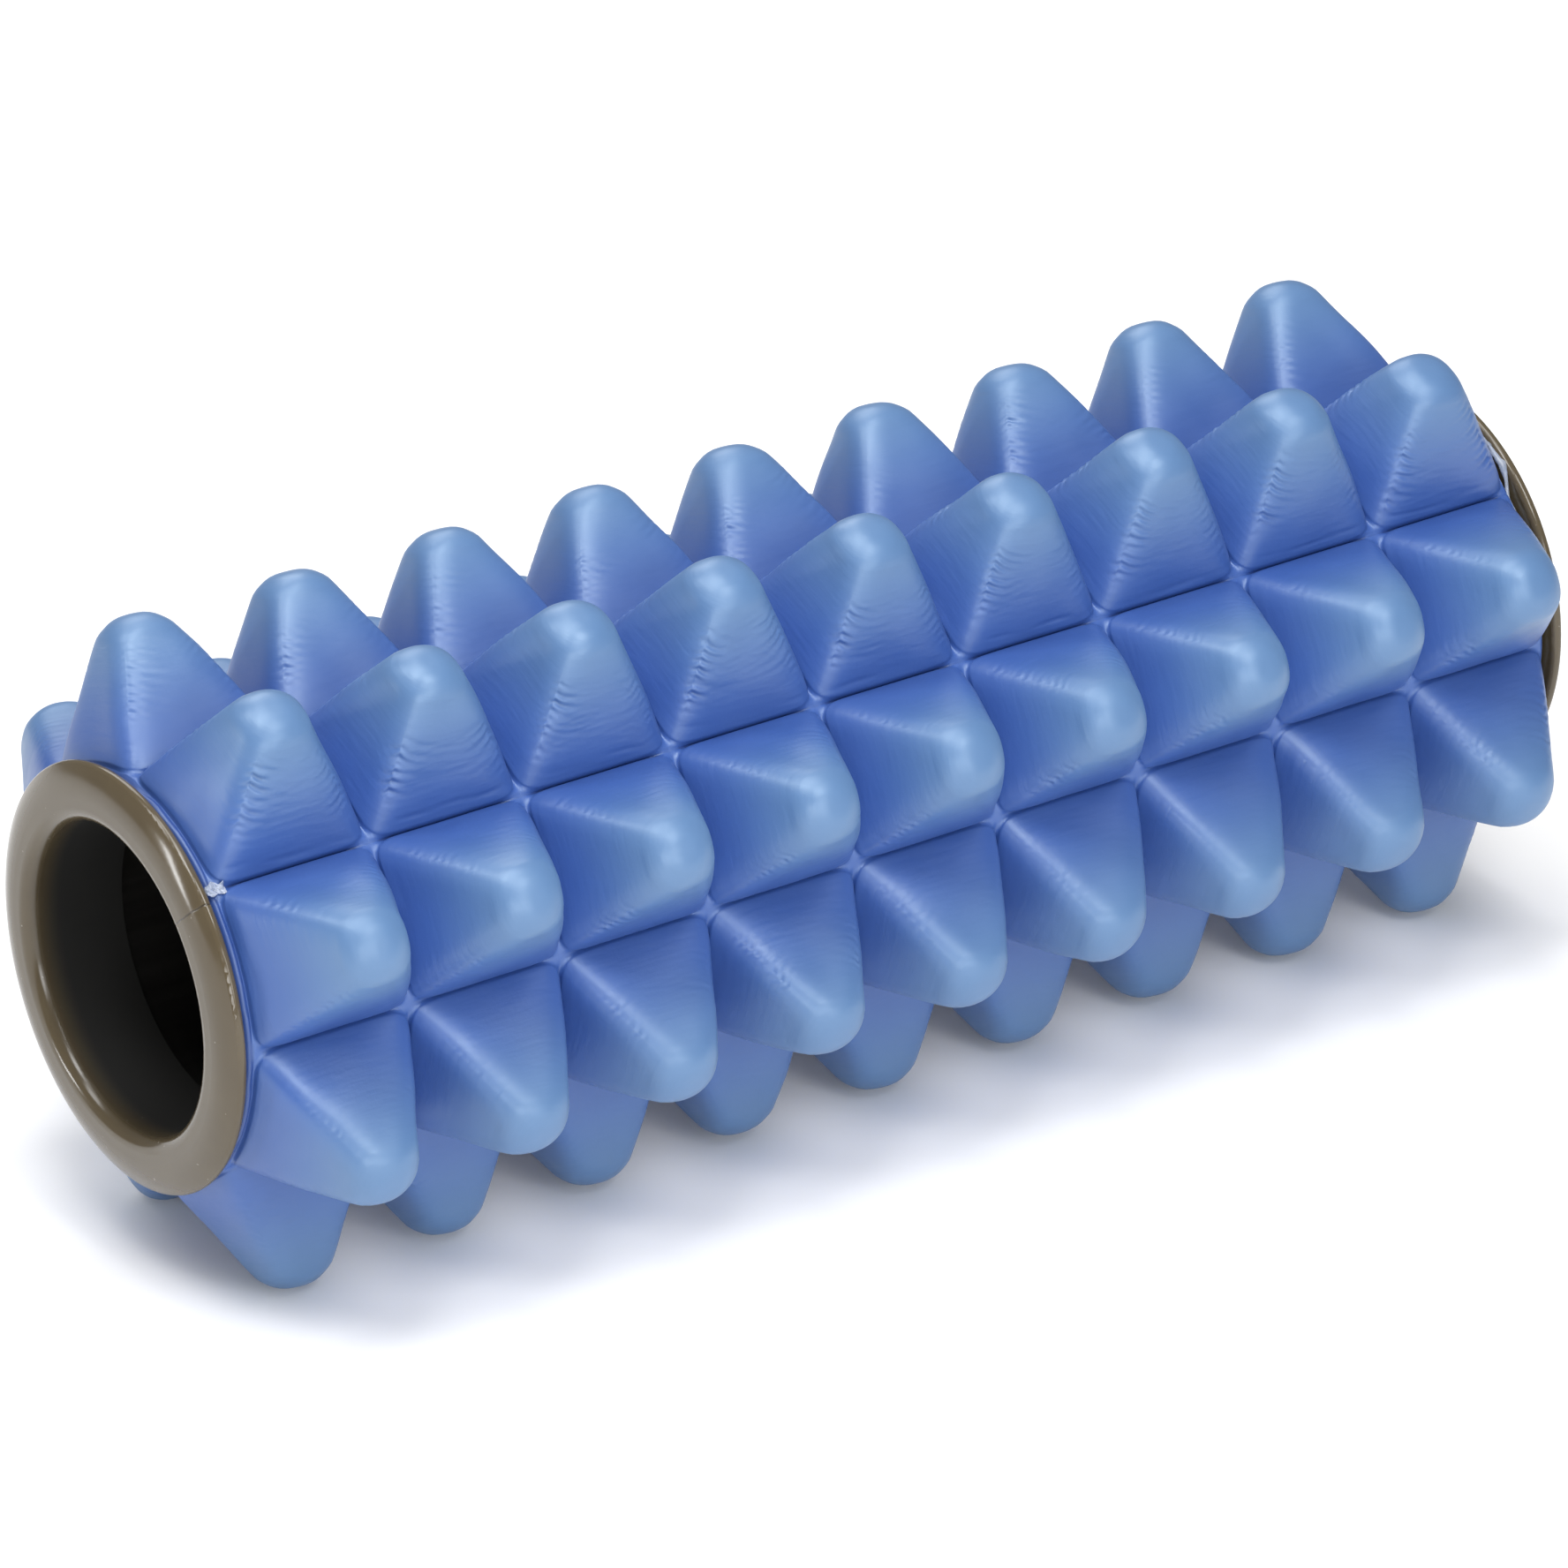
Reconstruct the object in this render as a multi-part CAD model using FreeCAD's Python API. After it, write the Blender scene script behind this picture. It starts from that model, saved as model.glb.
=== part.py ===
"""Hollow-core spiky massage roller: a plastic tube, a foam sleeve of pyramid spikes and two end rings.

Frame: millimetres, +Z up. The origin is the middle of the roller on its own axis, and +X runs along
that axis. The roller lies as it does on a floor, on two neighbouring rows of spikes.
"""
import FreeCAD
import Part
import math
import os

# ---- Driving dimensions (mm) ----
# Spikes
spike_pitch = 35.5          # along the roller, from one crease to the next
spikes_along = 9            # spikes in one row
rows_round = 8              # rows round the roller
spike_height = 25.5         # tip above the creases
tip_flat = 9.0              # side of the blunt square end of a spike

# Foam sleeve under the spikes
foam_base = 2.9             # foam left under the creases
short_margin = 0.25         # plain foam past the last crease at the right end, short of the ring

# Core tube
tube_outer_radius = 40.0
tube_wall = 3.5
tube_margin = 2.25          # tube past the last crease at each end; the foam covers it at the left end

# End rings
spigot_wall = 4.05          # wall of the sleeve that goes inside the tube
spigot_length = 18.0        # how far the ring goes into the tube
flange_overhang = 1.5       # flange past the foam at the creases
flange_thickness = 4.2      # flange at its crown
flange_edge_radius = 1.2    # rounding of the flange's rim
flange_shoulder_slope = 35  # degrees between the flange's shoulder and its flat crown, at the rim
lip_radius = 3.0            # rounding where the bore meets the crown

# Clearances
glue_line = 0.1             # adhesive between the tube and the foam
spigot_clearance = 0.05     # between the spigot and the inside of the tube, all round
sewing_tolerance = 0.001    # faces whose edges are this close are joined

# ---- Sizes that follow from them ----
row_angle = 360.0 / rows_round
first_row_angle = row_angle / 2 - 90.0      # two rows straddle straight down
spike_field_length = spikes_along * spike_pitch
half_length = spike_field_length / 2 + tube_margin
foam_right_end = spike_field_length / 2 + short_margin
foam_bore_radius = tube_outer_radius + glue_line
crease_radius = foam_bore_radius + foam_base
tip_radius = crease_radius + spike_height
tube_inner_radius = tube_outer_radius - tube_wall
spigot_radius = tube_inner_radius - spigot_clearance
bore_radius = spigot_radius - spigot_wall
flange_radius = crease_radius + flange_overhang

AXIS = FreeCAD.Vector(1, 0, 0)
CENTRE = FreeCAD.Vector(0, 0, 0)


def on_roller(x, radius, angle, sideways=0.0):
    """A point at a place along the axis, a radius and an angle, moved sideways round the roller."""
    turn = math.radians(angle)
    y = radius * math.cos(turn) - sideways * math.sin(turn)
    z = radius * math.sin(turn) + sideways * math.cos(turn)
    return FreeCAD.Vector(x, y, z)


def crease_arc(x, angle):
    """The base edge of one spike that runs round the roller."""
    start = on_roller(x, crease_radius, angle - row_angle / 2)
    middle = on_roller(x, crease_radius, angle)
    end = on_roller(x, crease_radius, angle + row_angle / 2)
    return Part.Arc(start, middle, end).toShape()


def flat_face(corners):
    """A flat face with straight sides."""
    return Part.Face(Part.makePolygon(corners + corners[:1]))


def spike_faces(x, angle):
    """The four sides and the blunt end of one spike, which stands on the creases round it."""
    low, high = x - spike_pitch / 2, x + spike_pitch / 2
    half_tip = tip_flat / 2
    half_row = row_angle / 2
    faces = []
    tip = {}
    for along in (-1, 1):
        for across in (-1, 1):
            tip[along, across] = on_roller(x + along * half_tip, tip_radius, angle, across * half_tip)
    for base_x, along in ((low, -1), (high, 1)):
        tip_edge = Part.makeLine(tip[along, -1], tip[along, 1])
        faces.append(Part.makeRuledSurface(crease_arc(base_x, angle), tip_edge))
    for across in (-1, 1):
        base_angle = angle + across * half_row
        base_low = on_roller(low, crease_radius, base_angle)
        base_high = on_roller(high, crease_radius, base_angle)
        faces.append(flat_face([base_low, base_high, tip[1, across], tip[-1, across]]))
    faces.append(flat_face([tip[-1, -1], tip[1, -1], tip[1, 1], tip[-1, 1]]))
    return faces


def row_angles():
    return [first_row_angle + row_angle * row for row in range(rows_round)]


def spike_places():
    first = -(spikes_along - 1) / 2 * spike_pitch
    return [first + spike_pitch * number for number in range(spikes_along)]


def foam_sleeve():
    """One closed skin: the spikes, a plain margin at each end, two end faces and the bore."""
    faces = []
    for angle in row_angles():
        for x in spike_places():
            faces.extend(spike_faces(x, angle))
    for side, end in ((-1, -half_length), (1, foam_right_end)):
        last_crease = side * spike_field_length / 2
        outer_edges = []
        for angle in row_angles():
            edge = crease_arc(end, angle)
            faces.append(Part.makeRuledSurface(crease_arc(last_crease, angle), edge))
            outer_edges.append(edge)
        inner_edge = Part.makeCircle(foam_bore_radius, FreeCAD.Vector(end, 0, 0), AXIS)
        faces.append(Part.Face([Part.Wire(outer_edges), Part.Wire([inner_edge])]))
    bore_start = FreeCAD.Vector(-half_length, 0, 0)
    bore = Part.makeCylinder(foam_bore_radius, half_length + foam_right_end, bore_start, AXIS)
    faces.append(next(face for face in bore.Faces if isinstance(face.Surface, Part.Cylinder)))
    skin = Part.Shell(faces)
    skin.sewShape()
    sleeve = Part.Solid(skin)
    sleeve.fix(sewing_tolerance, sewing_tolerance, sewing_tolerance)
    return sleeve


def core_tube():
    """A plain tube from ring to ring."""
    start = FreeCAD.Vector(-half_length, 0, 0)
    outside = Part.makeCylinder(tube_outer_radius, 2 * half_length, start, AXIS)
    inside = Part.makeCylinder(tube_inner_radius, 2 * half_length, start, AXIS)
    return outside.cut(inside)


def end_ring(side):
    """A ring turned about the axis: a spigot inside the tube and a domed flange over the end faces.

    The profile is drawn in (distance outwards from the end of the tube, radius).
    """
    slope = math.radians(flange_shoulder_slope)
    rim_radius = flange_radius - flange_edge_radius
    shoulder_foot = flange_edge_radius * (1 + math.cos(slope))
    shoulder_radius = (flange_thickness - shoulder_foot) / (1 - math.cos(slope))
    crown_outer = rim_radius + flange_edge_radius * math.sin(slope) - shoulder_radius * math.sin(slope)
    crown_inner = bore_radius + lip_radius

    def point(outwards, radius):
        return FreeCAD.Vector(side * (half_length + outwards), 0, radius)

    def rim(angle):
        return point(flange_edge_radius * (1 + math.sin(angle)), rim_radius + flange_edge_radius * math.cos(angle))

    def shoulder(angle):
        return point(flange_thickness - shoulder_radius * (1 - math.cos(angle)),
                     crown_outer + shoulder_radius * math.sin(angle))

    def lip(angle):
        return point(flange_thickness - lip_radius * (1 - math.cos(angle)),
                     crown_inner - lip_radius * math.sin(angle))

    quarter = math.pi / 2
    spigot_end_in = point(-spigot_length, bore_radius)
    spigot_end_out = point(-spigot_length, spigot_radius)
    seat = point(0, spigot_radius)
    edges = [
        Part.makeLine(spigot_end_in, spigot_end_out),
        Part.makeLine(spigot_end_out, seat),
        Part.makeLine(seat, rim(-quarter)),
        Part.Arc(rim(-quarter), rim(0), rim(quarter - slope)).toShape(),
        Part.Arc(shoulder(slope), shoulder(slope / 2), shoulder(0)).toShape(),
        Part.makeLine(shoulder(0), lip(0)),
        Part.Arc(lip(0), lip(quarter / 2), lip(quarter)).toShape(),
        Part.makeLine(lip(quarter), spigot_end_in),
    ]
    profile = Part.Face(Part.Wire(edges))
    ring = profile.revolve(CENTRE, AXIS, 360)
    if ring.Volume < 0:
        ring.reverse()
    return ring


PIECES = {
    "core_tube": core_tube,
    "foam_sleeve": foam_sleeve,
    "end_ring_left": lambda: end_ring(-1),
    "end_ring_right": lambda: end_ring(1),
}


def main():
    os.makedirs("parts", exist_ok=True)
    for name, make in PIECES.items():
        shape = make()
        box = shape.BoundBox
        shape.exportStep(f"parts/{name}.step")
        print(f"{name}: valid {shape.isValid()}, {len(shape.Solids)} solid, {shape.Volume / 1000:.1f} cm3, "
              f"{box.XLength:.1f} x {box.YLength:.1f} x {box.ZLength:.1f} mm")


main()
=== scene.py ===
# %% [markdown]
# # A spiky hollow-core massage roller
# The roller is a dark plastic tube with one moulded foam sheet wrapped round it and a plastic ring pushed
# into each end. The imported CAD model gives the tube, the rings and the place of everything. Blender makes
# the foam's real surface and the finish of each material.

# %% Load the frame
import math

import bmesh
import bpy
import numpy as np
from mathutils import Matrix, Vector


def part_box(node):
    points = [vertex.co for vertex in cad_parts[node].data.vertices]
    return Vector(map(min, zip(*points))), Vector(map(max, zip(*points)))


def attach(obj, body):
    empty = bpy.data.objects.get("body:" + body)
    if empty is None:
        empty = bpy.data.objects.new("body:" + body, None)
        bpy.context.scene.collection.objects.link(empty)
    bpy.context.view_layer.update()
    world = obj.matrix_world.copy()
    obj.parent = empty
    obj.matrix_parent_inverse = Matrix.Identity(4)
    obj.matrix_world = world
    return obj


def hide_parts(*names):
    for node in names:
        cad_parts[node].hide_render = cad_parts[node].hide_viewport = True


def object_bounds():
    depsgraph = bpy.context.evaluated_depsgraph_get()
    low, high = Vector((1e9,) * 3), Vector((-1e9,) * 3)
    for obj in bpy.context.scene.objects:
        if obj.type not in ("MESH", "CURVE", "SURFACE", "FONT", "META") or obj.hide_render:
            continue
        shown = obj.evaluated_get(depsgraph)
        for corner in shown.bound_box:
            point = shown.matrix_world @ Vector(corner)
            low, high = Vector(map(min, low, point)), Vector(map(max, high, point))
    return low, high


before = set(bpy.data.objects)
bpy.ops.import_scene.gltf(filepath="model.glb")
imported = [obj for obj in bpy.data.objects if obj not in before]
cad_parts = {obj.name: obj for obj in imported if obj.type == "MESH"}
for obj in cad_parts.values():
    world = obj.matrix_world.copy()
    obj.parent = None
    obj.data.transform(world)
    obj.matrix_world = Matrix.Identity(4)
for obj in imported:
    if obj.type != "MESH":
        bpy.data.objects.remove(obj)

MM = 0.001
cad_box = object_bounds()
print("CAD nodes:", sorted(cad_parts))

# %% [markdown]
# ## Camera
# A long lens far from the roller keeps its ends nearly the same size. The camera stands to the left of the
# near end and looks down a little, so that one end ring and four rows of spikes face it.

# %% Camera
camera_azimuth = math.radians(34.43)     # to the left of square on
camera_elevation = math.radians(25.54)
camera_roll = math.radians(-0.82)
camera_distance = 1.957
camera_lens = 218.5                      # on a 36 mm sensor
aim_right = -0.00408                     # the view's centre beside the roller's centre
aim_up = -0.00349

back = Vector((-math.sin(camera_azimuth) * math.cos(camera_elevation),
               -math.cos(camera_azimuth) * math.cos(camera_elevation),
               math.sin(camera_elevation)))
level = Vector((math.cos(camera_azimuth), -math.sin(camera_azimuth), 0))
right = level * math.cos(camera_roll) + back.cross(level) * math.sin(camera_roll)
up = back.cross(right)

camera_data = bpy.data.cameras.new("camera")
camera_data.lens = camera_lens
camera_data.sensor_width = 36
camera_data.clip_end = 20
camera = bpy.data.objects.new("camera", camera_data)
bpy.context.scene.collection.objects.link(camera)
camera.location = back * camera_distance + right * aim_right + up * aim_up
camera.rotation_euler = Matrix((right, up, back)).transposed().to_euler()
bpy.context.scene.camera = camera
print("camera at", [round(v, 3) for v in camera.location])

# %% [markdown]
# ## Floor and light
# The roller lies on a white sweep in a studio. Soft boxes in front, above and behind do most of the work.
# One beside the camera, a little low, puts the pale glow on the ridges that face it. A narrow strip beyond
# the left end draws a bright line on the end ring, and a dim white world fills in.

# %% Helpers for colour, nodes and lights
def linear(hex_colour):
    """An sRGB hex colour as linear red, green, blue and alpha."""
    channels = [int(hex_colour[i:i + 2], 16) / 255 for i in (0, 2, 4)]
    curved = [c / 12.92 if c <= 0.04045 else ((c + 0.055) / 1.055) ** 2.4 for c in channels]
    return (*curved, 1.0)


def add_node(tree, kind, settings=None, inputs=None):
    """Adds a node with its settings. An input is a value, or a socket of another node to link from."""
    node = tree.nodes.new(kind)
    for name, value in (settings or {}).items():
        setattr(node, name, value)
    for name, value in (inputs or {}).items():
        if isinstance(value, bpy.types.NodeSocket):
            tree.links.new(value, node.inputs[name])
        else:
            node.inputs[name].default_value = value
    return node


def deselect():
    bpy.ops.object.select_all(action="DESELECT")


light_distance = 1.5              # metres from the roller's centre


def soft_box(name, direction, width, height, watts):
    """A rectangular light, measured in metres, that looks at the roller's centre from this direction."""
    data = bpy.data.lights.new(name, "AREA")
    data.shape = "RECTANGLE"
    data.size = width
    data.size_y = height
    data.energy = watts
    lamp = bpy.data.objects.new(name, data)
    bpy.context.scene.collection.objects.link(lamp)
    away = Vector(direction).normalized()
    lamp.location = away * light_distance
    lamp.rotation_euler = away.to_track_quat("Z", "Y").to_euler()


# %% Floor
floor_size = 6.0
floor_level = cad_box[0][2]
deselect()
bpy.ops.mesh.primitive_plane_add(size=floor_size, location=(0, 0, floor_level))
floor = bpy.context.object
floor.name = "studio_floor"
print("floor at", round(floor_level, 4))

floor_paper = bpy.data.materials.new("white_paper_sweep")
floor_paper.use_nodes = True
floor_shader = floor_paper.node_tree.nodes["Principled BSDF"]
floor_shader.inputs["Base Color"].default_value = linear("FBFBFB")
floor_shader.inputs["Roughness"].default_value = 0.9
floor_shader.inputs["Emission Color"].default_value = linear("FFFFFF")
floor_shader.inputs["Emission Strength"].default_value = 0.02
floor.data.materials.append(floor_paper)

# %% Lights
world = bpy.data.worlds.new("white_studio")
world.use_nodes = True
world.node_tree.nodes["Background"].inputs["Color"].default_value = linear("FFFFFF")
world.node_tree.nodes["Background"].inputs["Strength"].default_value = 0.22
bpy.context.scene.world = world
bpy.context.scene.view_settings.view_transform = "Standard"

soft_box("overhead_box", (0, 0, 1), 0.7, 0.7, 8.0)
soft_box("front_box", (0, -1, 0.3), 0.6, 0.6, 5.5)
soft_box("front_high_box", (0, -0.6, 0.8), 0.6, 0.6, 9.0)
soft_box("left_top_box", (-0.35, -0.2, 0.9), 0.45, 0.45, 6.5)
soft_box("left_high_box", (-0.47, 0.24, 0.84), 0.4, 0.6, 4.5)
soft_box("left_end_strip", (-0.93, 0.36, 0), 0.11, 0.7, 4.4)
soft_box("camera_box", (-0.48, -0.85, 0.22), 0.55, 0.45, 5.2)
soft_box("back_box", (0.2, 0.7, 0.7), 0.8, 0.8, 7.0)

# %% [markdown]
# ## One spike of the foam sheet
# The foam is moulded flat, with blunt four-sided spikes, and then wrapped round the tube. A spike starts as
# a flat patch: a small grid for the blunt end, whose rim is extruded outwards ring by ring. Every ring is
# then raised to its place on the spike's profile. The straight side has many rings too, because the fine
# folds of the skin are made by moving their points.

# %% Sizes of the foam
_, tube_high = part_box("core_tube")
_, ring_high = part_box("end_ring_left")
half_length = tube_high.x
rows_round = 8
spikes_along = 9
left_margin = 2.25 * MM           # plain foam past the last crease, up to the left ring
right_margin = 0.25 * MM          # the sheet stops short of the right ring
flange_overhang = 1.5 * MM        # the rings stand this far past the foam at the creases
spike_height = 25.5 * MM          # above the creases

spike_pitch = 2 * (half_length - left_margin) / spikes_along
crease_radius = ring_high.z - flange_overhang
tip_radius = crease_radius + spike_height
row_angle = 2 * math.pi / rows_round
half_base = spike_pitch / 2
half_chord = crease_radius * math.sin(row_angle / 2)
chord_radius = crease_radius * math.cos(row_angle / 2)     # from the axis to the flat chord of a row
local_height = tip_radius - chord_radius
middle_spike = (spikes_along - 1) / 2
print(f"pitch {spike_pitch / MM:.2f} mm")
print(f"creases at {crease_radius / MM:.1f} mm, tips at {tip_radius / MM:.1f} mm from the axis")

# %% Flat patch of rings
cap_rings = 10                    # rings of the blunt end and its rounded shoulder
side_rings = 76
foot_rings = 4                    # rings where the side turns down into the crease
floor_rings = 3                   # rings in the bottom of the crease
all_rings = cap_rings + side_rings + foot_rings + floor_rings
grid_steps = 2 * cap_rings

deselect()
bpy.ops.mesh.primitive_grid_add(x_subdivisions=grid_steps, y_subdivisions=grid_steps, size=grid_steps)
patch = bpy.context.object
patch.name = "spike_patch"
bpy.ops.object.mode_set(mode="EDIT")
bpy.ops.mesh.select_mode(type="EDGE")
bpy.ops.mesh.select_all(action="DESELECT")
bpy.ops.mesh.select_non_manifold()
for ring in range(cap_rings, all_rings):
    bpy.ops.mesh.extrude_edges_move()
    grow = (ring + 1) / ring
    bpy.ops.transform.resize(value=(grow, grow, 1))
bpy.ops.mesh.select_all(action="SELECT")
bpy.ops.mesh.normals_make_consistent(inside=False)
bpy.ops.object.mode_set(mode="OBJECT")
print("flat patch:", len(patch.data.vertices), "points,", len(patch.data.polygons), "faces")

# %% [markdown]
# ## The spike's profile
# From the middle outwards the profile is a slightly crowned end, a round shoulder, a straight side, a foot
# that turns down like the edge of a cushion, and the bottom of the crease. The straight side is the line
# that touches both the shoulder and the foot.

# %% Profile of a spike
end_flat = 1.6 * MM               # half-width of the flat end, before its shoulder
end_crown = 0.5 * MM              # how far the end bulges
shoulder_radius = 6.7 * MM
foot_radius = 1.6 * MM
foot_height = 0.3 * MM            # where the side meets the rounded foot
crease_half_width = 0.16 * MM
crease_depth = 0.65 * MM
crease_floor = ((0, 0.6), (0.5, 0.95), (1, 1))     # (share of its half-width, share of its depth)

foot_out = half_base - crease_half_width
shoulder_x, shoulder_z = end_flat, local_height - end_crown - shoulder_radius
foot_x, foot_z = foot_out - foot_radius, foot_height
gap_x, gap_z = foot_x - shoulder_x, shoulder_z - foot_z
side_slope = math.atan2(gap_z, gap_x)
side_slope += math.asin((shoulder_radius - foot_radius) / math.hypot(gap_x, gap_z))
print(f"the sides slope {math.degrees(side_slope):.1f} degrees")


def arc(centre_x, centre_z, radius, slopes):
    """Points on an arc, by the slope of the surface there."""
    return [(centre_x + radius * math.sin(s), centre_z + radius * math.cos(s)) for s in slopes]


def spike_profile():
    """(distance out, height) of each ring, from the middle of the end to the edge of the cell."""
    flat_rings = 3
    points = [(end_flat * i / flat_rings, shoulder_z + shoulder_radius) for i in range(flat_rings + 1)]
    shoulder_slopes = np.linspace(0, side_slope, cap_rings - flat_rings + 1)[1:]
    points += arc(shoulder_x, shoulder_z, shoulder_radius, shoulder_slopes)
    top = np.array(points[-1])
    bottom = np.array(arc(foot_x, foot_z, foot_radius, [side_slope])[0])
    points += [tuple(top + (bottom - top) * i / side_rings) for i in range(1, side_rings + 1)]
    points += arc(foot_x, foot_z, foot_radius, np.linspace(side_slope, math.pi / 2, foot_rings + 1)[1:])
    points += [(foot_out + out * crease_half_width, -down * crease_depth) for out, down in crease_floor]
    return np.array(points)


profile = spike_profile()
assert len(profile) == all_rings + 1

# %% [markdown]
# ## Sculpt the patch
# A point of the flat patch knows its ring and how far along the ring's side it is. From those two come its
# place on the profile and its place round a square with rounded corners. The rounded corners leave a small
# diamond of foam where four spikes meet. At the foot the cell follows the round of the sleeve, while the
# end of the spike stays square and stiff.

# %% Rounded square rings
ridge_cut_low = 1.3 * MM          # what the rounding takes off a corner, each way, at the foot
ridge_cut_high = 1.75 * MM        # and at the end
circle_cut = 0.29                 # the cut, as a share of its size, that makes a circle of a square
corner_crowding = 1.6             # crowds a ring's points towards its corners, where it bends most
nearly_zero = 1e-9                # keeps the middle of the patch from dividing by zero
least_cut = 1e-12


def rounded_square(out, along, cut, fill):
    """Points on squares with gradually rounded corners. along runs from -1 to 1. fill 1 squares them."""
    across = 1 - (1 - np.abs(along)) ** corner_crowding
    power = -1 / np.log2(1 - cut / np.maximum(out, nearly_zero))
    reach = (1 + across ** power) ** (-1 / power)
    reach += fill * (1 - reach)
    return out * reach, np.sign(along) * out * reach * across


# %% Shape of the plain spike
diamond_start = 0.6               # share of the way to the corner at which the diamond begins
diamond_blend = 0.2
diamond_fill = 0.8                # share of the crease's depth that the diamond fills

count = len(patch.data.vertices)
flat = np.empty(count * 3)
patch.data.vertices.foreach_get("co", flat)
flat = np.round(flat.reshape(-1, 3)[:, :2], 4)

x_leads = np.abs(flat[:, 0]) >= np.abs(flat[:, 1])
lead = np.where(x_leads, flat[:, 0], flat[:, 1])
ring_of = np.abs(lead)
along = np.where(x_leads, flat[:, 1], flat[:, 0]) / np.maximum(ring_of, 1)
out_of = np.interp(ring_of, range(all_rings + 1), profile[:, 0])
height_of = np.interp(ring_of, range(all_rings + 1), profile[:, 1])
share_up = np.clip(height_of / local_height, 0, 1)
cut_of = ridge_cut_low + (ridge_cut_high - ridge_cut_low) * share_up
cut_of = np.clip(cut_of, least_cut, circle_cut * out_of + least_cut)
in_floor = np.clip((ring_of - all_rings + floor_rings) / floor_rings, 0, 1)

outward, beside = rounded_square(out_of, along, cut_of, in_floor)
outward = outward * np.sign(lead)
spike_x = np.where(x_leads, outward, beside)
spike_y = np.where(x_leads, beside, outward)
crown = np.clip(1 - np.hypot(spike_x, spike_y) / (end_flat + shoulder_radius), 0, 1)
height_of = height_of + end_crown * np.sqrt(crown)
in_crease = ring_of > all_rings - floor_rings
diamond = np.clip((np.abs(along) - diamond_start) / diamond_blend, 0, 1) * in_crease
height_of = np.where(height_of < 0, height_of * (1 - diamond_fill * diamond), height_of)

spike_y = spike_y * (1 - (1 - half_chord / half_base) * (1 - share_up))
round_of_sleeve = (np.sqrt(crease_radius ** 2 - spike_y ** 2) - chord_radius) * (1 - share_up)
sink = 1 + np.minimum(height_of, 0) / crease_radius      # the crease sinks towards the axis
spike_z = (chord_radius + round_of_sleeve) * sink - chord_radius + np.maximum(height_of, 0)
spike = np.column_stack([spike_x, spike_y * sink, spike_z])

patch.data.vertices.foreach_set("co", spike.ravel())
patch.data.update()
normals = np.empty(count * 3)
patch.data.vertex_normals.foreach_get("vector", normals)
normals = normals.reshape(-1, 3)
if normals[:, 2].mean() < 0:
    normals = -normals
print("spike is", [round(float(v) / MM, 1) for v in np.ptp(spike, axis=0)], "mm")

# %% [markdown]
# ## Soft foam is never regular
# No two spikes match: each leans a little, swells a little, and its skin is puckered where the sheet was
# squeezed on its way round the tube. The puckers are fine folds that arch over a ridge. They are deepest on
# the row beside the butt joint of the sheet, because that row was pulled down last.

# %% Helpers for soft variation
joint_row = 4                     # the butt joint follows this row
lean = 0.45 * MM
swelling = 0.16 * MM
wave_count = 6                    # waves that add up to one random swell
end_rise = 0.45                   # mm that the spikes at both ends of a row stand higher
waist_drop = 0.9                  # mm that the middle spike is lower than those
short_spikes = {(4, 8): 2.0 * MM, (6, 8): 1.0 * MM}     # two end spikes came out this much short
free_height = 2.5 * MM            # above this the skin moves freely, and in the crease it can't
ridge_place = 0.85                # a ridge runs at this share of the way out, both ways
climb_to_ends = 0.8               # how steeply a fold climbs away from its ridge on faces towards the ends
climb_round = 0.45                # and on faces that look round the sleeve
fold_wander = 0.4 * MM
fold_sharpness = 1.3
fold_steepness = 0.15             # a fold's depth as a share of the spacing of the folds
tuck_width = 0.45 * MM            # the skin is tucked in, in a broken line just above the joint
tuck_depth = 0.26 * MM


def waves(points, size, chance):
    """A smooth random swell of about -1 to 1, with bumps of about this size."""
    total = np.zeros(len(points))
    for _ in range(wave_count):
        way = chance.normal(size=3)
        way *= 2 * math.pi / (size * chance.uniform(0.8, 1.6) * np.linalg.norm(way))
        total += np.sin(points @ way + chance.uniform(0, 2 * math.pi))
    return total / (wave_count / 2)


def near_ridge(away, reach):
    """1 on a ridge, fading smoothly to nothing past this reach."""
    return np.exp(-(away / reach) ** 2)


def folds(chance, corner, depth, spacing, low, high):
    """Fine folds that cross one corner's ridge between two heights and run on over the faces beside it."""
    ridge = ridge_place * out_of
    away = np.hypot(spike_x * corner[0] - ridge, spike_y * corner[1] - ridge)
    climb = height_of + np.where(x_leads, climb_to_ends, climb_round) * away
    climb += fold_wander * waves(spike, 6 * MM, chance)
    line = (0.5 + 0.5 * np.cos(2 * math.pi * climb / spacing)) ** fold_sharpness
    patchy = np.clip(0.75 + 0.5 * waves(spike, 5 * MM, chance), 0.15, 1.2)
    middle, half = (low + high) / 2, (high - low) / 2
    fade = np.clip(2 - 2 * np.abs(height_of - middle) / half, 0, 1)
    on_face = near_ridge(away, 13 * MM)
    towards_ends = 1.2 * near_ridge(away, 2.5 * MM) + 0.08 * on_face
    round_sleeve = near_ridge(away, 5 * MM) + 0.6 * on_face
    return -depth * line * patchy * fade * np.where(x_leads, towards_ends, round_sleeve)


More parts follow.
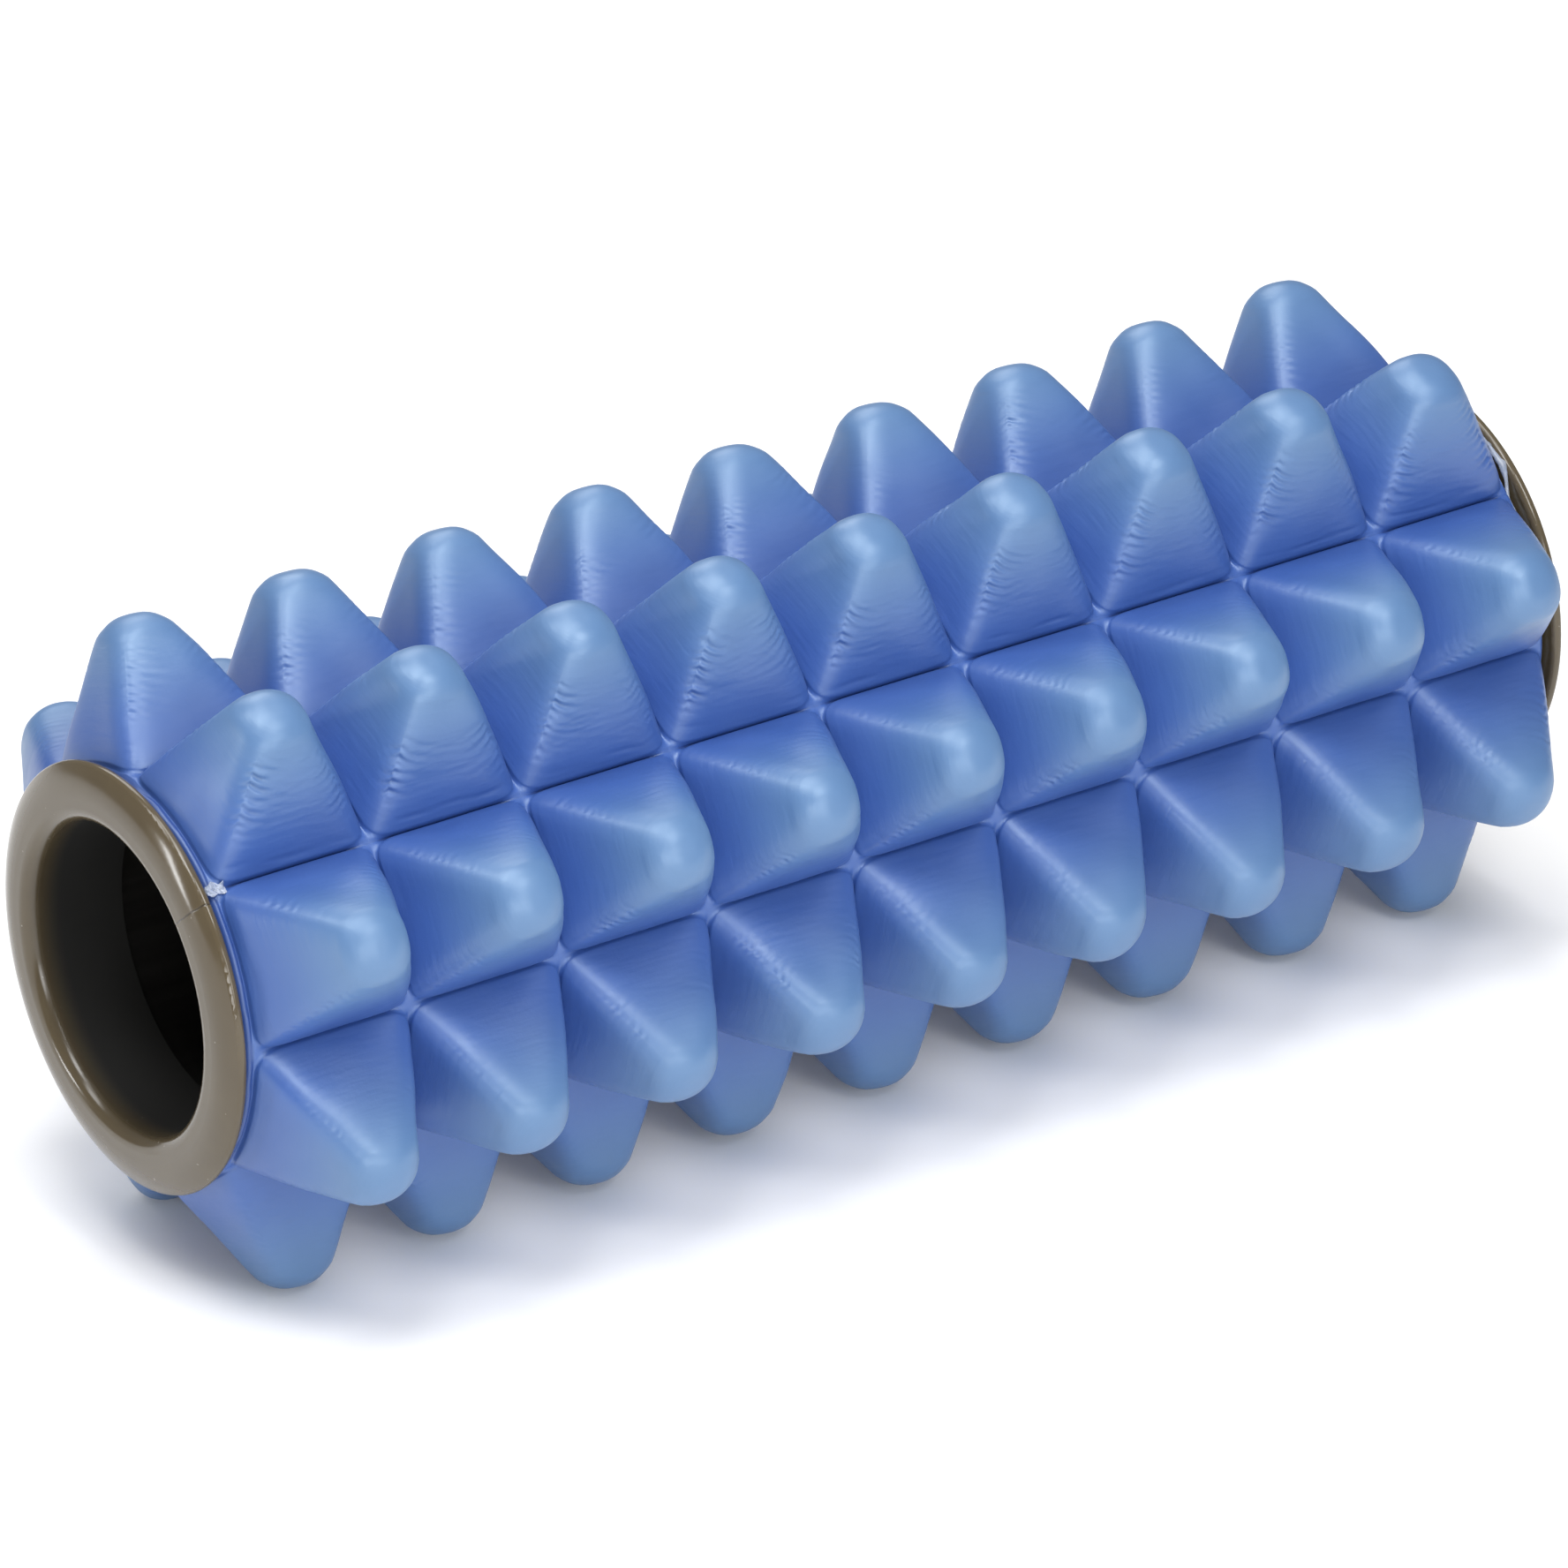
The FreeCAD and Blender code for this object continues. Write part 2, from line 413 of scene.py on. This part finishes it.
def soft_spike(row, number):
    """The plain spike with its own lean, swelling and puckers, which fade out at the crease."""
    chance = np.random.default_rng(100 * row + number)
    free = np.clip(height_of / free_height, 0, 1)
    bulge = swelling * waves(spike, 15 * MM, chance)
    squeeze = 1.0 if row == joint_row else chance.uniform(0.1, 0.6)
    for corner in ((-1, 1), (1, 1), (-1, -1), (1, -1)):
        low, high = chance.uniform(1, 6) * MM, chance.uniform(17, 25) * MM
        own = squeeze * (1.0 if corner == (-1, 1) else chance.uniform(0.3, 0.8))
        for spacing in (chance.uniform(1.7, 2.0) * MM, chance.uniform(1.35, 1.55) * MM):
            bulge += folds(chance, corner, own * spacing * fold_steepness, spacing, low, high)
    if row == joint_row:
        level = (2.4 + 0.8 * waves(spike, 12 * MM, chance)) * MM
        tuck = np.exp(-((height_of - level) / tuck_width) ** 2) * (~x_leads) * (spike_y > 0)
        broken = np.clip(0.4 + 1.1 * waves(spike, 9 * MM, chance), 0, 1)
        bulge -= tuck_depth * tuck * broken * np.clip(1.6 - 1.6 * np.abs(along), 0, 1)
    own_spike = spike + normals * (bulge * free)[:, None]
    bend = (share_up ** 1.5)[:, None]
    waist = (end_rise - waist_drop * (1 - ((number - middle_spike) / middle_spike) ** 2)) * MM
    pressed = short_spikes.get((row, number), 0)
    rise = waist - pressed + 0.3 * MM * chance.uniform(-1, 1)
    shift = [lean * chance.uniform(-1, 1), lean * chance.uniform(-1, 1), rise]
    return own_spike + bend * np.array(shift)


# %% [markdown]
# ## Wrap the sheet round the tube
# Each spike is a copy of the one patch, placed on its row. The copies share the lines in the bottoms of the
# creases, so merging close points makes one skin. At the butt joint the crease is a deeper slit.

# %% Copy the spikes round the sleeve
joint_angle = -math.pi / 2 + row_angle * (joint_row + 1)
joint_gap_depth = 0.5 * MM
joint_gap_width = 0.3 * MM


def on_sleeve(points, angle, x):
    """Points of a spike in the roller's axes."""
    radial = chord_radius + points[:, 2]
    y = radial * math.cos(angle) - points[:, 1] * math.sin(angle)
    z = radial * math.sin(angle) + points[:, 1] * math.cos(angle)
    return np.column_stack([points[:, 0] + x, y, z])


def open_joint(points):
    """Sinks the bottom of the crease at the butt joint."""
    across = points[:, 2] * math.cos(joint_angle) - points[:, 1] * math.sin(joint_angle)
    ahead = points[:, 1] * math.cos(joint_angle) + points[:, 2] * math.sin(joint_angle)
    drop = joint_gap_depth * np.exp(-(across / joint_gap_width) ** 2) * (ahead > 0)
    radius = np.hypot(points[:, 1], points[:, 2])
    points[:, 1:] *= (1 - drop / radius)[:, None]
    return points


faces_of_one = [tuple(face.vertices) for face in patch.data.polygons]
all_points = []
all_faces = []
for row in range(rows_round):
    for number in range(spikes_along):
        angle = -math.pi / 2 + row_angle * (row + 0.5)
        x = (number - middle_spike) * spike_pitch
        first = count * len(all_points)
        all_points.append(on_sleeve(soft_spike(row, number), angle, x))
        all_faces += [tuple(v + first for v in face) for face in faces_of_one]

foam_mesh = bpy.data.meshes.new("foam_sheet")
foam_mesh.from_pydata(open_joint(np.vstack(all_points)).tolist(), [], all_faces)
foam = bpy.data.objects.new("foam_sheet", foam_mesh)
bpy.context.scene.collection.objects.link(foam)
bpy.data.objects.remove(patch)

# %% [markdown]
# ## Close the ends
# Past the last crease a narrow lip of plain foam runs up to each ring. The open edge of the skin is drawn
# out along that lip, down the cut end and through the bore, so that the foam is one closed body. The lip is
# uneven, and it dips at the top of the left ring, where the sheet has let go of it.

# %% Lips, cut ends and bore
bore_radius = 40.1                # mm, which leaves a line of glue round the tube
lip_path = ((0.1, 42.6), (0.28, 42.9), (0.5, 42.75), (0.7, 42.2),
            (0.82, 41.4), (0.88, 40.7), (0.88, bore_radius))
uneven_depth = 0.3                # mm
uneven_above = 41                 # mm; nearer the axis the cut end is straight
last_crease = spikes_along * spike_pitch / 2
gap_depth = 2.0                   # mm that the lip dips at the left ring
gap_angle = math.radians(84)
gap_half_width = math.radians(14)

work = bmesh.new()
work.from_mesh(foam_mesh)
bmesh.ops.remove_doubles(work, verts=work.verts, dist=0.004 * MM)
edge_loops = [e for e in work.edges if e.is_boundary]
print("open edges after the merge:", len(edge_loops), "for", 2 * rows_round * grid_steps)
for past, radius in lip_path:       # share of the margin, and the radius there in millimetres
    drawn = bmesh.ops.extrude_edge_only(work, edges=edge_loops)["geom"]
    edge_loops = [e for e in drawn if isinstance(e, bmesh.types.BMEdge) and e.is_boundary]
    for vert in {v for e in edge_loops for v in e.verts}:
        end = last_crease + past * right_margin if vert.co.x > 0 else -last_crease - past * left_margin
        turn = math.atan2(vert.co.z, vert.co.y)
        uneven = uneven_depth * math.sin(9 * turn) * math.sin(23 * turn + 1) * (radius > uneven_above)
        gap = gap_depth * math.exp(-((turn - gap_angle) / gap_half_width) ** 2) * (vert.co.x < 0)
        lip_radius = min(radius, max(radius + uneven - gap, bore_radius))
        scale = lip_radius * MM / math.hypot(vert.co.y, vert.co.z)
        vert.co = (end, vert.co.y * scale, vert.co.z * scale)
bmesh.ops.bridge_loops(work, edges=edge_loops)
bmesh.ops.recalc_face_normals(work, faces=work.faces)
print("open edges left:", sum(e.is_boundary for e in work.edges))
work.to_mesh(foam_mesh)
work.free()
foam_mesh.shade_smooth()
print("foam sheet:", len(foam_mesh.polygons), "faces")

# %% [markdown]
# ## Dried glue
# The contact adhesive that holds the sheet was squeezed out in two places. A thin uneven bead lies in the
# groove between the foam and the right ring, and a crumpled flake sits on the left end of the butt joint.
# The bead starts as a torus and the flake as a grid, and both are made uneven by moving their points.

# %% Bead in the groove
groove_middle = (last_crease + right_margin + half_length) / 2
bead_radius = tube_high.z + 0.45 * MM
bead_thickness = 0.85 * MM
blob_angle = math.radians(123)
blob_half_width = math.radians(10)
blob_rise = 3.1 * MM              # how far the glue climbs the ring where most of it came out
blob_shift = 0.6 * MM
deselect()
bpy.ops.mesh.primitive_torus_add(major_segments=360, minor_segments=12, major_radius=bead_radius,
                                 minor_radius=bead_thickness, rotation=(0, math.pi / 2, 0))
bead = bpy.context.object
bead.name = "glue_bead"
bpy.ops.object.transform_apply(location=True, rotation=True, scale=True)


def points_of(piece):
    """The piece's points as an array."""
    values = np.empty(len(piece.data.vertices) * 3)
    piece.data.vertices.foreach_get("co", values)
    return values.reshape(-1, 3)


def move_points(piece, points):
    """Puts the piece's points at new places."""
    piece.data.vertices.foreach_set("co", np.ascontiguousarray(points).ravel())
    piece.data.update()


chance = np.random.default_rng(7)
ring_points = points_of(bead)
circle = np.hypot(ring_points[:, 1], ring_points[:, 2])
thick = 0.78 + 0.3 * waves(ring_points, 7 * MM, chance) + 0.14 * waves(ring_points, 2.2 * MM, chance)
turn = np.arctan2(ring_points[:, 2], ring_points[:, 1])
blob = np.exp(-((turn - blob_angle) / blob_half_width) ** 4)
thick = thick * (0.7 + 0.3 * blob) + 0.3 * blob * waves(ring_points, 1.3 * MM, chance)
new_radius = bead_radius + (circle - bead_radius) * thick + blob_rise * blob
ring_points[:, 1:] *= (new_radius / circle)[:, None]
ring_points[:, 0] = groove_middle + ring_points[:, 0] * thick + blob_shift * blob
move_points(bead, ring_points)
bead.data.shade_smooth()
print("bead:", len(bead.data.polygons), "faces")

# %% Flake on the butt joint
flake_length = 4.2 * MM
flake_width = 2.2 * MM
flake_steps = 26
flake_lift = 0.45 * MM            # above the creases
flake_curl = 0.12
flake_start = 0.15 * MM           # from the end of the tube
deselect()
bpy.ops.mesh.primitive_grid_add(x_subdivisions=flake_steps, y_subdivisions=flake_steps, size=1)
flake = bpy.context.object
flake.name = "glue_flake"
sheet_points = points_of(flake)
sheet_points[:, 0] *= flake_length
sheet_points[:, 1] *= flake_width
crumple = 0.36 * MM * waves(sheet_points, 1.5 * MM, chance)
crumple += 0.16 * MM * waves(sheet_points, 0.7 * MM, chance)
ragged = 1 + 0.45 * waves(sheet_points, 1.4 * MM, chance)
beside = sheet_points[:, 1] * ragged
outwards = crease_radius + flake_lift + crumple + flake_curl * np.abs(beside)
along_x = -half_length + flake_start + flake_length / 2 + sheet_points[:, 0] * (0.9 + 0.1 * ragged)
move_points(flake, np.column_stack([
    along_x,
    outwards * math.cos(joint_angle) - beside * math.sin(joint_angle),
    outwards * math.sin(joint_angle) + beside * math.cos(joint_angle)]))
thickness = flake.modifiers.new("thickness", "SOLIDIFY")
thickness.thickness = 0.12 * MM
thickness.offset = 0
bpy.ops.object.modifier_apply(modifier=thickness.name)
bpy.ops.object.mode_set(mode="EDIT")
bpy.ops.mesh.select_all(action="SELECT")
bpy.ops.mesh.normals_make_consistent(inside=False)
bpy.ops.object.mode_set(mode="OBJECT")
flake.data.shade_smooth()
print("flake:", len(flake.data.polygons), "faces")

# %% [markdown]
# ## Material of the foam
# The sheet is EVA foam moulded in a heated tool, which leaves a closed, slightly waxy skin with a soft
# sheen. The blue is cloudy and a little paler towards the ends of the spikes, partly where the skin is
# rubbed and partly as painted light and shade along each spike. Painted shade darkens the creases and the
# lips beside the rings. Very fine stretch lines run round each spike.

# %% Where a point lies on the roller
def place_on_roller(tree):
    """Sockets with a point's place, its place seen along the axis, and its distance from the axis."""
    place = add_node(tree, "ShaderNodeTexCoord").outputs["Object"]
    across = add_node(tree, "ShaderNodeVectorMath", {"operation": "MULTIPLY"}, {0: place, 1: (0, 1, 1)})
    radius = add_node(tree, "ShaderNodeVectorMath", {"operation": "LENGTH"}, {0: across.outputs[0]})
    return place, across.outputs[0], radius.outputs["Value"]


# %% Foam skin
foam_skin = bpy.data.materials.new("EVA_foam_moulded_skin")
foam_skin.use_nodes = True
tree = foam_skin.node_tree
foam_shader = tree.nodes["Principled BSDF"]
foam_shader.inputs["Roughness"].default_value = 0.38
foam_shader.inputs["Specular IOR Level"].default_value = 1.0
foam_shader.inputs["Specular Tint"].default_value = linear("E6F8FF")
foam_shader.inputs["IOR"].default_value = 1.5

place, _, radius = place_on_roller(tree)

cloud = add_node(tree, "ShaderNodeTexNoise",
                 inputs={"Vector": place, "Scale": 1 / (16 * MM), "Detail": 3.0})
cloudy_blue = add_node(tree, "ShaderNodeMix", {"data_type": "RGBA"},
                       {0: cloud.outputs["Fac"], 6: linear("345397"), 7: linear("3B5B9F")})
# Paler towards the spike ends: partly rubbed skin, and partly painted light and shade that darkens the
# spikes towards their bases.
rub_and_base_shade = add_node(tree, "ShaderNodeMapRange", {"interpolation_type": "SMOOTHSTEP"},
               {"Value": radius, "From Min": 46 * MM, "From Max": 69 * MM, "To Max": 1.0})
rubbed_and_shaded_blue = add_node(tree, "ShaderNodeMix", {"data_type": "RGBA"},
                       {0: rub_and_base_shade.outputs["Result"], 6: cloudy_blue.outputs[2], 7: linear("54759F")})
# Painted shade: the creases and the lips beside the rings are darkened towards a deep blue.
crease_shade = add_node(tree, "ShaderNodeMapRange", {"interpolation_type": "SMOOTHSTEP"},
                  {"Value": radius, "From Min": 42.0 * MM, "From Max": 42.6 * MM,
                   "To Min": 0.7, "To Max": 0.0})
parts = add_node(tree, "ShaderNodeSeparateXYZ", inputs={0: place})
from_middle = add_node(tree, "ShaderNodeMath", {"operation": "ABSOLUTE"}, {0: parts.outputs["X"]})
lip_shade = add_node(tree, "ShaderNodeMapRange", {"interpolation_type": "SMOOTHSTEP"},
               {"Value": from_middle.outputs[0], "From Min": last_crease - 0.2 * MM,
                "From Max": last_crease + 0.4 * MM, "To Max": 0.8})
shaded = add_node(tree, "ShaderNodeMath", {"operation": "MAXIMUM"},
                  {0: crease_shade.outputs["Result"], 1: lip_shade.outputs["Result"]})
crease_shaded_blue = add_node(tree, "ShaderNodeMix", {"data_type": "RGBA"},
                        {0: shaded.outputs[0], 6: rubbed_and_shaded_blue.outputs[2], 7: linear("203A7C")})
tree.links.new(crease_shaded_blue.outputs[2], foam_shader.inputs["Base Color"])

gloss = add_node(tree, "ShaderNodeTexNoise", inputs={"Vector": place, "Scale": 1 / (9 * MM), "Detail": 4.0})
gloss_range = add_node(tree, "ShaderNodeMapRange",
                       inputs={"Value": gloss.outputs["Fac"], "From Min": 0.3, "From Max": 0.7,
                               "To Min": 0.37, "To Max": 0.48})
tree.links.new(gloss_range.outputs["Result"], foam_shader.inputs["Roughness"])

# Stretch lines are a noise that changes every millimetre outwards, but only every 8 mm round the spike.
slow = add_node(tree, "ShaderNodeVectorMath", {"operation": "SCALE"}, {0: place, "Scale": 1 / (8 * MM)})
fast = add_node(tree, "ShaderNodeMath", {"operation": "MULTIPLY"}, {0: radius, 1: 1 / (1.1 * MM)})
stretch = add_node(tree, "ShaderNodeTexNoise", {"noise_dimensions": "4D"},
                   {"Vector": slow.outputs[0], "W": fast.outputs[0], "Scale": 1.0, "Detail": 2.0})
pores = add_node(tree, "ShaderNodeTexNoise",
                 inputs={"Vector": place, "Scale": 1 / (0.8 * MM), "Detail": 2.0})
stretch_bump = add_node(tree, "ShaderNodeBump",
                        inputs={"Height": stretch.outputs["Fac"], "Strength": 0.35, "Distance": 0.25 * MM})
skin_bump = add_node(tree, "ShaderNodeBump",
                     inputs={"Height": pores.outputs["Fac"], "Strength": 0.25, "Distance": 0.06 * MM,
                             "Normal": stretch_bump.outputs["Normal"]})
tree.links.new(skin_bump.outputs["Normal"], foam_shader.inputs["Normal"])
foam_mesh.materials.append(foam_skin)
print("foam skin:", len(tree.nodes), "nodes")

# %% [markdown]
# ## Material of the end rings
# The rings are injection-moulded ABS in a warm grey, with a smooth satin gloss. The plastic met itself
# behind the core pin of the mould, which shows on the left ring as a thin dark knit line across the flange.
# The wall of the bore was never polished, so it is duller, and painted shade darkens it from the mouth
# inwards.

# %% Ring plastic
knit_angle = math.radians(138.5)

ring_plastic = bpy.data.materials.new("ABS_moulded_warm_grey")
ring_plastic.use_nodes = True
tree = ring_plastic.node_tree
ring_shader = tree.nodes["Principled BSDF"]
ring_shader.inputs["IOR"].default_value = 1.53

place, across, radius = place_on_roller(tree)
flow = add_node(tree, "ShaderNodeTexNoise", inputs={"Vector": place, "Scale": 1 / (12 * MM), "Detail": 3.0})
grey = add_node(tree, "ShaderNodeMix", {"data_type": "RGBA"},
                {0: flow.outputs["Fac"], 6: linear("4E4434"), 7: linear("584E3B")})
speck = add_node(tree, "ShaderNodeTexNoise",
                 inputs={"Vector": place, "Scale": 1 / (1.1 * MM), "Detail": 0.0})
speck_mask = add_node(tree, "ShaderNodeMapRange",
                      inputs={"Value": speck.outputs["Fac"], "From Min": 0.84,
                              "From Max": 0.87, "To Max": 0.35})
specked = add_node(tree, "ShaderNodeMix", {"data_type": "RGBA"},
                   {0: speck_mask.outputs["Result"], 6: grey.outputs[2], 7: linear("B4AEA4")})

# The knit line is where a plane through the axis cuts the flange of the left ring.
knit_normal = (0, -math.sin(knit_angle), math.cos(knit_angle))
wander = add_node(tree, "ShaderNodeTexNoise",
                  inputs={"Vector": place, "Scale": 1 / (3 * MM), "Detail": 1.0})
wander_mm = add_node(tree, "ShaderNodeMapRange",
                     inputs={"Value": wander.outputs["Fac"], "To Min": -0.5 * MM, "To Max": 0.5 * MM})
beside = add_node(tree, "ShaderNodeVectorMath", {"operation": "DOT_PRODUCT"},
                  {0: place, 1: knit_normal}).outputs["Value"]
wandering = add_node(tree, "ShaderNodeMath", {"operation": "ADD"},
                     {0: beside, 1: wander_mm.outputs["Result"]})
distance = add_node(tree, "ShaderNodeMath", {"operation": "ABSOLUTE"}, {0: wandering.outputs[0]})
on_line = add_node(tree, "ShaderNodeMapRange", {"interpolation_type": "SMOOTHSTEP"},
                   {"Value": distance.outputs[0], "From Min": 0.05 * MM, "From Max": 0.28 * MM,
                    "To Min": 0.75, "To Max": 0.0})
ahead = add_node(tree, "ShaderNodeVectorMath", {"operation": "DOT_PRODUCT"},
                 {0: across, 1: (0, math.cos(knit_angle), math.sin(knit_angle))}).outputs["Value"]
this_side = add_node(tree, "ShaderNodeMath", {"operation": "GREATER_THAN"}, {0: ahead, 1: 0.0})
place_parts = add_node(tree, "ShaderNodeSeparateXYZ", inputs={0: place})
left_end = add_node(tree, "ShaderNodeMath", {"operation": "LESS_THAN"},
                    {0: place_parts.outputs["X"], 1: 0.0})
both = add_node(tree, "ShaderNodeMath", {"operation": "MULTIPLY"},
                {0: this_side.outputs[0], 1: left_end.outputs[0]})
knit = add_node(tree, "ShaderNodeMath", {"operation": "MULTIPLY"},
                {0: both.outputs[0], 1: on_line.outputs["Result"]})
knitted = add_node(tree, "ShaderNodeMix", {"data_type": "RGBA"},
                   {0: knit.outputs[0], 6: specked.outputs[2], 7: linear("2C2720")})

# Painted shade: the bore gets darker from the mouth inwards. The same mask also makes its wall rougher.
depth = add_node(tree, "ShaderNodeMath", {"operation": "ABSOLUTE"}, {0: place_parts.outputs["X"]})
mouth = add_node(tree, "ShaderNodeMapRange", {"interpolation_type": "SMOOTHSTEP"},
                 {"Value": depth.outputs[0], "From Min": 158 * MM, "From Max": 166 * MM,
                  "To Min": 1.0, "To Max": 0.0})
in_bore = add_node(tree, "ShaderNodeMapRange", {"interpolation_type": "SMOOTHSTEP"},
                   {"Value": radius, "From Min": 32.6 * MM, "From Max": 33.8 * MM,
                    "To Min": 1.0, "To Max": 0.0})
bore_shade_and_dull = add_node(tree, "ShaderNodeMath", {"operation": "MULTIPLY"},
                {0: mouth.outputs["Result"], 1: in_bore.outputs["Result"]})
bore_shaded = add_node(tree, "ShaderNodeMix", {"data_type": "RGBA"},
                  {0: bore_shade_and_dull.outputs[0], 6: knitted.outputs[2], 7: linear("0B0A08")})
tree.links.new(bore_shaded.outputs[2], ring_shader.inputs["Base Color"])

satin = add_node(tree, "ShaderNodeMapRange",
                 inputs={"Value": flow.outputs["Fac"], "To Min": 0.12, "To Max": 0.2})
rough = add_node(tree, "ShaderNodeMix", inputs={0: bore_shade_and_dull.outputs[0], 2: satin.outputs["Result"], 3: 0.7})
tree.links.new(rough.outputs[0], ring_shader.inputs["Roughness"])
orange_peel = add_node(tree, "ShaderNodeTexNoise",
                       inputs={"Vector": place, "Scale": 1 / (2.5 * MM), "Detail": 2.0})
peel_bump = add_node(tree, "ShaderNodeBump",
                     inputs={"Height": orange_peel.outputs["Fac"], "Strength": 0.12, "Distance": 0.1 * MM})
knit_bump = add_node(tree, "ShaderNodeBump", {"invert": True},
                     {"Height": knit.outputs[0], "Strength": 0.5, "Distance": 0.1 * MM,
                      "Normal": peel_bump.outputs["Normal"]})
tree.links.new(knit_bump.outputs["Normal"], ring_shader.inputs["Normal"])
for node in ("end_ring_left", "end_ring_right"):
    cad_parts[node].data.materials[0] = ring_plastic
print("ring plastic:", len(tree.nodes), "nodes")

# %% [markdown]
# ## Material of the core tube
# The tube is extruded plastic, drawn out of a die, so faint straight lines run along it. Only a narrow
# stretch shows between the foam and the right ring, and painted shade makes the bore beyond the rings
# almost black.

# %% Tube plastic
core_plastic = bpy.data.materials.new("ABS_extruded_dark_tube")
core_plastic.use_nodes = True
tree = core_plastic.node_tree
core_shader = tree.nodes["Principled BSDF"]
core_shader.inputs["IOR"].default_value = 1.53
place, _, radius = place_on_roller(tree)
drawn_out = add_node(tree, "ShaderNodeMapping",
                     inputs={"Vector": place, "Scale": (1 / (60 * MM), 1 / (1.2 * MM), 1 / (1.2 * MM))})
die_lines = add_node(tree, "ShaderNodeTexNoise",
                     inputs={"Vector": drawn_out.outputs[0], "Scale": 1.0, "Detail": 3.0})
# Painted shade: inside the bore the tube's plastic is painted almost black, while the outside keeps its
# brown.
outside = add_node(tree, "ShaderNodeMapRange",
                   inputs={"Value": radius, "From Min": 38.5 * MM, "From Max": 39.5 * MM})
brown_with_bore_shade = add_node(tree, "ShaderNodeMix", {"data_type": "RGBA"},
                 {0: outside.outputs["Result"], 6: linear("060504"), 7: linear("5F574B")})
lined = add_node(tree, "ShaderNodeMix", {"data_type": "RGBA"},
                 {0: die_lines.outputs["Fac"], 6: brown_with_bore_shade.outputs[2], 7: linear("14110D")})
tree.links.new(lined.outputs[2], core_shader.inputs["Base Color"])
line_gloss = add_node(tree, "ShaderNodeMapRange",
                      inputs={"Value": die_lines.outputs["Fac"], "To Min": 0.4, "To Max": 0.65})
tree.links.new(line_gloss.outputs["Result"], core_shader.inputs["Roughness"])
line_bump = add_node(tree, "ShaderNodeBump",
                     inputs={"Height": die_lines.outputs["Fac"], "Strength": 0.3, "Distance": 0.1 * MM})
tree.links.new(line_bump.outputs["Normal"], core_shader.inputs["Normal"])
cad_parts["core_tube"].data.materials[0] = core_plastic
print("tube plastic:", len(tree.nodes), "nodes")

# %% [markdown]
# ## Material of the glue
# Dried contact adhesive is clear to milky and very glossy, so it shows as small sharp glints.

# %% Dried glue
dried_glue = bpy.data.materials.new("polychloroprene_glue_dried")
dried_glue.use_nodes = True
tree = dried_glue.node_tree
glue_shader = tree.nodes["Principled BSDF"]
glue_shader.inputs["IOR"].default_value = 1.52
glue_shader.inputs["Transmission Weight"].default_value = 0.5
place = add_node(tree, "ShaderNodeTexCoord").outputs["Object"]
milk = add_node(tree, "ShaderNodeTexNoise",
                inputs={"Vector": place, "Scale": 1 / (1.5 * MM), "Detail": 2.0})
milky = add_node(tree, "ShaderNodeMix", {"data_type": "RGBA"},
                 {0: milk.outputs["Fac"], 6: linear("9AABCC"), 7: linear("DDE4EF")})
tree.links.new(milky.outputs[2], glue_shader.inputs["Base Color"])
wet = add_node(tree, "ShaderNodeMapRange",
               inputs={"Value": milk.outputs["Fac"], "To Min": 0.08, "To Max": 0.3})
tree.links.new(wet.outputs["Result"], glue_shader.inputs["Roughness"])
ripple = add_node(tree, "ShaderNodeTexNoise",
                  inputs={"Vector": place, "Scale": 1 / (0.6 * MM), "Detail": 1.0})
ripple_bump = add_node(tree, "ShaderNodeBump",
                       inputs={"Height": ripple.outputs["Fac"], "Strength": 0.5, "Distance": 0.15 * MM})
tree.links.new(ripple_bump.outputs["Normal"], glue_shader.inputs["Normal"])
for piece in (bead, flake):
    piece.data.materials.append(dried_glue)

# %% [markdown]
# ## Hand the pieces over
# The sculpted sheet stands for the plain foam solid of the CAD model, which is hidden but kept.

for piece in (foam, bead, flake):
    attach(piece, "root")
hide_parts("foam_sleeve")
